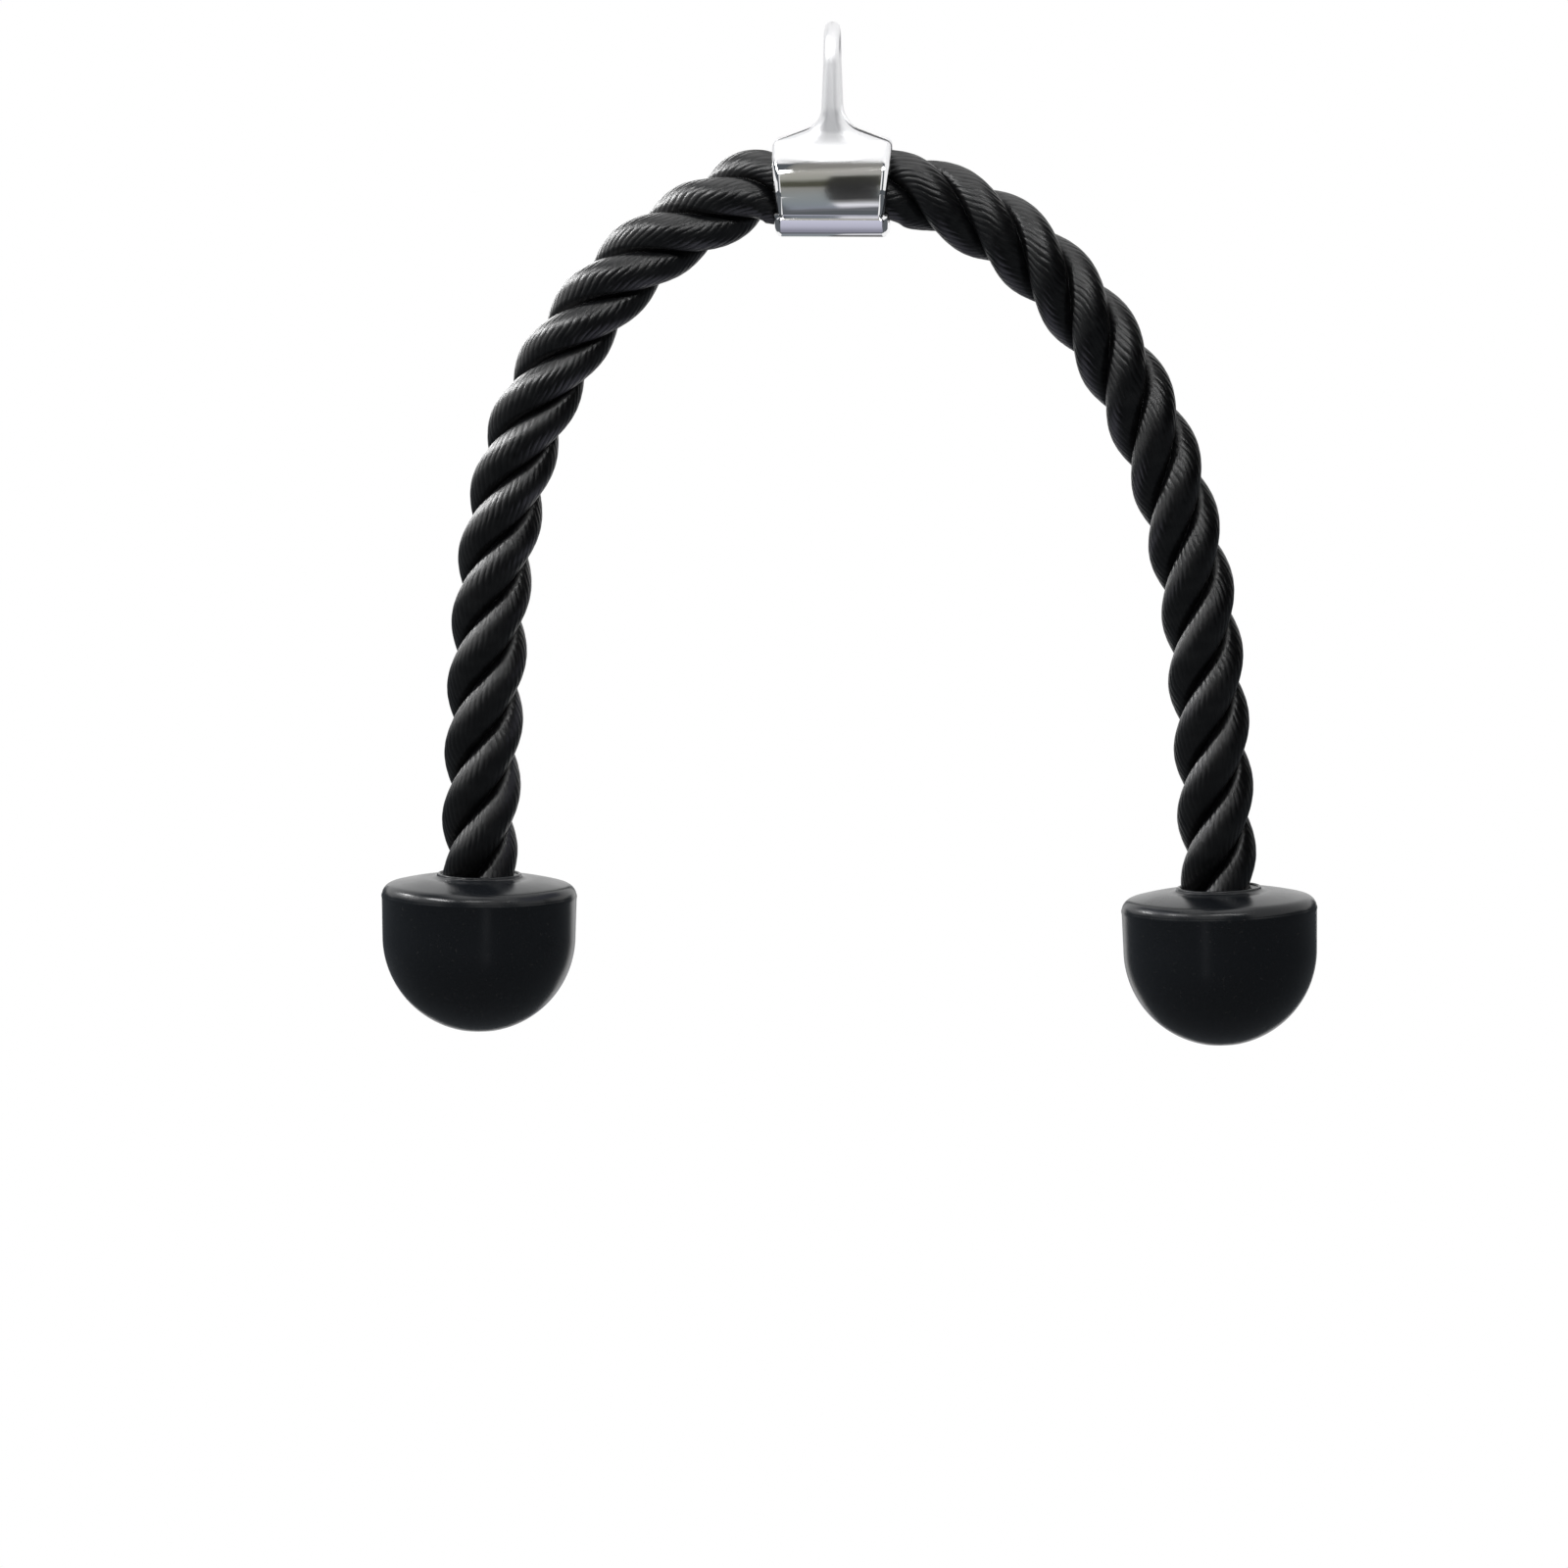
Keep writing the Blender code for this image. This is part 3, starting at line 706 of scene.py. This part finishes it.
def endBall(name, leg, body):
    profile = ballProfile(ballLook)
    deselectAll()
    bpy.ops.mesh.primitive_plane_add(size=0.01, location=(0, 0, 0))
    ball = bpy.context.object
    ball.name = ball.data.name = name + "_moulded_ball"
    bpy.ops.object.mode_set(mode="EDIT")
    bpy.ops.mesh.select_all(action="SELECT")
    bpy.ops.mesh.merge(type="CENTER")
    first = profile[0]
    bpy.ops.transform.translate(value=(first[0], 0, first[1]))
    for before, after in zip(profile, profile[1:]):
        move = (after[0] - before[0], 0, after[1] - before[1])
        bpy.ops.mesh.extrude_region_move(TRANSFORM_OT_translate={"value": move})
    bpy.ops.mesh.select_all(action="SELECT")
    bpy.ops.mesh.spin(
        steps=ballLook["turns"], angle=fullTurn, center=(0, 0, 0), axis=(0, 0, 1), use_auto_merge=True
    )
    bpy.ops.mesh.select_all(action="SELECT")
    bpy.ops.mesh.remove_doubles(threshold=weldDistance)
    bpy.ops.mesh.normals_make_consistent(inside=False)
    bpy.ops.object.mode_set(mode="OBJECT")
    bpy.ops.object.shade_smooth_by_angle(angle=ballLook["smoothBelow"])
    ball.rotation_euler = Vector(-leg.hang).to_track_quat("Z", "Y").to_euler()
    ball.location = leg.lip
    bpy.ops.object.transform_apply(location=True, rotation=True, scale=True)
    ball.data.materials.append(rubberMaterial)
    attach(ball, body)
    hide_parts(name + "_end_ball")
    return ball


balls = []
for name, leg in (("left", leftLeg), ("right", rightLeg)):
    balls.append(endBall(name, leg, name + "_grip"))
    print("ball made:", name, len(balls[-1].data.polygons), "faces")

for name in ("left_washer", "right_washer", "left_ferrule", "right_ferrule"):
    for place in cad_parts[name].material_slots:
        place.material = zincMaterial


# Stage: a pale floor well below the hanging grips, and cards that only reflections see
stageLook = {
    "floorHeight": -0.80,
    "floorRadius": 2.4,
    "fade": (0.55, 1.5),        # the camera sees the floor pass into white between these distances
    "floorColour": (0.86, 0.86, 0.86),
}


def paleFloor(look):
    deselectAll()
    bpy.ops.mesh.primitive_circle_add(
        vertices=128, radius=look["floorRadius"], fill_type="TRIFAN", location=(0, 0, look["floorHeight"])
    )
    floor = bpy.context.object
    floor.name = "floor"
    bpy.ops.object.transform_apply(location=True, rotation=True, scale=True)
    material, nodes, links = newMaterial("paleFloor")
    nodes.remove(nodes["Principled BSDF"])
    output = nodes["Material Output"]
    matte = addNode(nodes, "ShaderNodeBsdfDiffuse", values={"Color": (*look["floorColour"], 1)})
    white = addNode(nodes, "ShaderNodeEmission", values={"Color": (1, 1, 1, 1), "Strength": 1.0})
    place = nodes.new("ShaderNodeTexCoord")
    flat = addNode(nodes, "ShaderNodeVectorMath", {"operation": "MULTIPLY"})
    flat.inputs[1].default_value = (1, 1, 0)
    links.new(place.outputs["Object"], flat.inputs[0])
    length = addNode(nodes, "ShaderNodeVectorMath", {"operation": "LENGTH"})
    links.new(flat.outputs[0], length.inputs[0])
    fade = mapRange(nodes, look["fade"], kind="SMOOTHSTEP")
    links.new(length.outputs["Value"], fade.inputs[0])
    seen = seenDirectly(nodes, links)
    both = addNode(nodes, "ShaderNodeMath", {"operation": "MULTIPLY"})
    links.new(fade.outputs[0], both.inputs[0])
    links.new(seen, both.inputs[1])
    mix = nodes.new("ShaderNodeMixShader")
    links.new(both.outputs[0], mix.inputs[0])
    links.new(matte.outputs[0], mix.inputs[1])
    links.new(white.outputs[0], mix.inputs[2])
    links.new(mix.outputs[0], output.inputs["Surface"])
    floor.data.materials.append(material)


# One for the rays that the camera sends, also through glass, and zero for all others
def seenDirectly(nodes, links):
    path = nodes.new("ShaderNodeLightPath")
    either = addNode(nodes, "ShaderNodeMath", {"operation": "MAXIMUM"})
    links.new(path.outputs["Is Camera Ray"], either.inputs[0])
    links.new(path.outputs["Is Transmission Ray"], either.inputs[1])
    return either.outputs[0]


# White behind the object, plain even light on it, and a dimmer room in its reflections
worldLook = {"strength": 0.17, "room": (0.09, 0.10, 0.11)}


def whiteWorld(look):
    world = bpy.data.worlds.new("studio")
    bpy.context.scene.world = world
    world.use_nodes = True
    nodes, links = world.node_tree.nodes, world.node_tree.links
    nodes.clear()
    output = nodes.new("ShaderNodeOutputWorld")
    lit, white, dim = (
        addNode(nodes, "ShaderNodeBackground", values={"Color": (*colour, 1), "Strength": strength})
        for colour, strength in (((1, 1, 1), look["strength"]), ((1, 1, 1), 1.0), (look["room"], 1.0))
    )
    path = nodes.new("ShaderNodeLightPath")
    mirrored = nodes.new("ShaderNodeMixShader")
    links.new(path.outputs["Is Glossy Ray"], mirrored.inputs[0])
    links.new(lit.outputs[0], mirrored.inputs[1])
    links.new(dim.outputs[0], mirrored.inputs[2])
    mix = nodes.new("ShaderNodeMixShader")
    links.new(seenDirectly(nodes, links), mix.inputs[0])
    links.new(mirrored.outputs[0], mix.inputs[1])
    links.new(white.outputs[0], mix.inputs[2])
    links.new(mix.outputs[0], output.inputs["Surface"])


# As a photographer's flag does, keep the light of one source off these pieces
def keepOff(source, pieces):
    if not pieces:
        return
    flagged = bpy.data.collections.new(source.name + "Flagged")
    source.light_linking.receiver_collection = flagged
    for piece in pieces:
        flagged.objects.link(piece)
    for entry in flagged.collection_objects:
        entry.light_linking.link_state = "EXCLUDE"


# Flat card that only glossy surfaces see, in one colour or painted by a function
def studioCard(name, centre, size, turn, colour, sparing=()):
    deselectAll()
    bpy.ops.mesh.primitive_plane_add(size=1.0, location=(0, 0, 0))
    card = bpy.context.object
    card.name = name
    card.scale = (size[0], size[1], 1.0)
    bpy.ops.object.transform_apply(location=False, rotation=False, scale=True)
    card.rotation_euler = turn
    card.location = centre
    bpy.ops.object.transform_apply(location=True, rotation=True, scale=True)
    material, nodes, links = newMaterial(name + "Card")
    nodes.remove(nodes["Principled BSDF"])
    glow = addNode(nodes, "ShaderNodeEmission", values={"Strength": 1.0})
    if callable(colour):
        links.new(colour(nodes, links), glow.inputs["Color"])
    else:
        glow.inputs["Color"].default_value = (*colour, 1)
    links.new(glow.outputs[0], nodes["Material Output"].inputs["Surface"])
    card.data.materials.append(material)
    for kind in ("camera", "diffuse", "transmission", "volume_scatter", "shadow"):
        setattr(card, "visible_" + kind, False)
    keepOff(card, sparing)


def softBox(name, centre, aim, size, power, sparing=()):
    lamp = bpy.data.lights.new(name, "AREA")
    lamp.shape = "RECTANGLE"
    lamp.size, lamp.size_y = size
    lamp.energy = power
    box = bpy.data.objects.new(name, lamp)
    box.visible_camera = False
    bpy.context.scene.collection.objects.link(box)
    box.location = centre
    box.rotation_euler = (Vector(aim) - Vector(centre)).to_track_quat("-Z", "Y").to_euler()
    keepOff(box, sparing)


# Painted reflection for the polished sleeve: a room of soft-edged bands by height, with another set between
# two edges
roomLook = {
    "left": -0.053, "right": 0.014, "low": -0.75, "high": 0.69, "depth": 0.50,
    "split": -0.0222, "splitEnd": 0.0075, "soft": 0.0014,
    "ragged": 0.05, "raggedScale": 24.0, "raggedStretch": (2.2, 1.0, 0.25),
}
groundBand = [(0.00, (0.15, 0.155, 0.17)), (0.11, (0.15, 0.155, 0.17))]
topBand = [(0.86, (0.25, 0.245, 0.225)), (1.00, (0.25, 0.245, 0.225))]
roomLeft = [
    *groundBand,
    (0.15, (0.24, 0.26, 0.30)), (0.25, (0.24, 0.27, 0.29)), (0.40, (0.27, 0.29, 0.29)),
    (0.50, (0.26, 0.26, 0.24)), (0.535, (0.08, 0.08, 0.06)), (0.575, (0.08, 0.08, 0.06)),
    (0.64, (0.34, 0.34, 0.30)), (0.76, (0.42, 0.41, 0.37)),
    *topBand,
]
roomRight = [
    *groundBand,
    (0.15, (0.50, 0.50, 0.54)), (0.17, (0.66, 0.66, 0.70)), (0.20, (0.85, 0.85, 0.90)),
    (0.235, (0.60, 0.60, 0.63)), (0.29, (0.20, 0.20, 0.20)), (0.33, (0.055, 0.055, 0.055)),
    (0.50, (0.030, 0.030, 0.030)), (0.63, (0.040, 0.040, 0.035)), (0.665, (0.09, 0.09, 0.08)),
    (0.70, (0.36, 0.355, 0.33)), (0.77, (0.42, 0.41, 0.38)),
    *topBand,
]


def paintRoomReflection(nodes, links):
    look = roomLook
    place = nodes.new("ShaderNodeTexCoord")
    split = nodes.new("ShaderNodeSeparateXYZ")
    links.new(place.outputs["Object"], split.inputs[0])
    noise = addNode(nodes, "ShaderNodeTexNoise", values={"Scale": look["raggedScale"], "Detail": 2.0})
    flat = addNode(nodes, "ShaderNodeMapping", {"vector_type": "POINT"})
    flat.inputs["Scale"].default_value = look["raggedStretch"]
    links.new(place.outputs["Object"], flat.inputs["Vector"])
    links.new(flat.outputs[0], noise.inputs["Vector"])
    height = mapRange(nodes, (look["low"], look["high"]))
    links.new(split.outputs["Z"], height.inputs[0])
    ragged = addNode(nodes, "ShaderNodeMath", {"operation": "MULTIPLY_ADD"}, {1: look["ragged"]})
    links.new(noise.outputs["Fac"], ragged.inputs[0])
    lowered = addNode(nodes, "ShaderNodeMath", {"operation": "SUBTRACT"}, {1: look["ragged"] / 2})
    links.new(height.outputs[0], lowered.inputs[0])
    links.new(lowered.outputs[0], ragged.inputs[2])
    colours = []
    for stops in (roomLeft, roomRight):
        ramp = addRamp(nodes, stops)
        links.new(ragged.outputs[0], ramp.inputs[0])
        colours.append(ramp.outputs["Color"])
    masks = []
    for edge in (look["split"], look["splitEnd"]):
        mask = mapRange(nodes, (edge - look["soft"], edge + look["soft"]), kind="SMOOTHSTEP")
        links.new(split.outputs["X"], mask.inputs[0])
        masks.append(mask.outputs[0])
    inside = addNode(nodes, "ShaderNodeMath", {"operation": "SUBTRACT"})
    links.new(masks[0], inside.inputs[0])
    links.new(masks[1], inside.inputs[1])
    return mixColours(nodes, links, inside.outputs[0], *colours)


# Painted reflection below the sleeve: it darkens towards the back, which paints shade on the lower part of
# the strap's rolled end
underLook = {"front": (0.66, 0.66, 0.79), "rear": (0.26, 0.26, 0.32), "fade": (-0.02, 0.07)}


def paintUnderReflection(nodes, links):
    place = nodes.new("ShaderNodeTexCoord")
    split = nodes.new("ShaderNodeSeparateXYZ")
    links.new(place.outputs["Object"], split.inputs[0])
    depth = mapRange(nodes, underLook["fade"])
    links.new(split.outputs["Y"], depth.inputs[0])
    ramp = addRamp(nodes, [(0.0, underLook["front"]), (1.0, underLook["rear"])])
    links.new(depth.outputs[0], ramp.inputs[0])
    return ramp.outputs["Color"]


paleFloor(stageLook)
whiteWorld(worldLook)
roomSize = (roomLook["right"] - roomLook["left"], roomLook["high"] - roomLook["low"])
roomMiddle = ((roomLook["left"] + roomLook["right"]) / 2, (roomLook["low"] + roomLook["high"]) / 2)
# Painted reflection cards for the sleeve, one in front of it and one behind it
for name, place in (("front", -roomLook["depth"]), ("rear", roomLook["depth"])):
    centre = (roomMiddle[0], place, roomMiddle[1])
    studioCard(name + "Room", centre, roomSize, (upright, 0, 0), paintRoomReflection, ropePieces)

# Cards by place, size, turn and colour, all of them painted reflections. White walls stand round the hanger,
# open below for the legs and at the upper left for the key light. The ones in front don't show in the rope,
# which they would turn grey.
white = (1.0, 1.0, 1.0)
cards = {
    "frontWall": ((0.0, -0.60, 0.13), (0.44, 0.50), (upright, 0, 0), white, ropePieces),
    "rearWall": ((0.0, 0.60, 0.34), (2.40, 1.00), (upright, 0, 0), white),
    "rearLow": ((0.0, 0.60, -0.42), (0.60, 0.52), (upright, 0, 0), white),
    "leftWall": ((-0.60, 0.0, -0.03), (1.20, 0.26), (upright, 0, upright), white),
    "rightWall": ((0.60, 0.0, 0.34), (1.20, 1.00), (upright, 0, upright), white, ropePieces),
    "ceiling": ((0.06, 0.0, 0.84), (1.08, 1.20), (0, 0, 0), white),
    "leftSill": ((-0.0675, -0.28, -0.20), (0.045, 0.44), (0, 0, 0), white, ropePieces),
    "rightSill": ((0.055, -0.28, -0.20), (0.070, 0.44), (0, 0, 0), white, ropePieces),
    # The canopy is a beige painted reflection above the sleeve
    "canopy": ((-0.02, -0.30, 0.69), (0.088, 0.40), (0, 0, 0), (0.25, 0.245, 0.225)),
    "underCard": ((0.0, 0.02, -0.20), (0.09, 0.16), (0, 0, 0), paintUnderReflection),
    # Painted dark reflection below the object: a dark card that only reflections see, above the pale floor
    "darkReflectionBelow": ((0.0, 0.0, -0.64), (3.2, 3.2), (0, 0, 0), (0.11, 0.12, 0.13)),
}
for name, card in cards.items():
    studioCard(name, *card)

# Soft boxes by place, aim, size in metres and power in watts, and the pieces that they don't light
lamps = {
    "overhead": ((-0.05, 0.12, 0.80), (-0.05, 0.12, 0.0), (0.9, 0.7), 2.0, [hanger]),
    "front": ((0.08, -0.55, 0.44), (0.0, 0.0, -0.2), (0.80, 0.08), 3.0),
    "key": ((-0.83, -0.43, 0.63), (0.0, 0.0, -0.2), (0.56, 0.13), 8.0),
    "side": ((-1.02, 0.31, 0.40), (0.0, 0.0, -0.2), (0.50, 0.13), 10.0, [hanger]),
    "rim": ((-0.42, 0.55, 0.06), (-0.42, 0.0, 0.06), (0.56, 0.30), 3.0, [hanger, *balls]),
}
for name, lamp in lamps.items():
    softBox(name, *lamp)
print("stage set")

bpy.context.scene.view_settings.view_transform = "Standard"
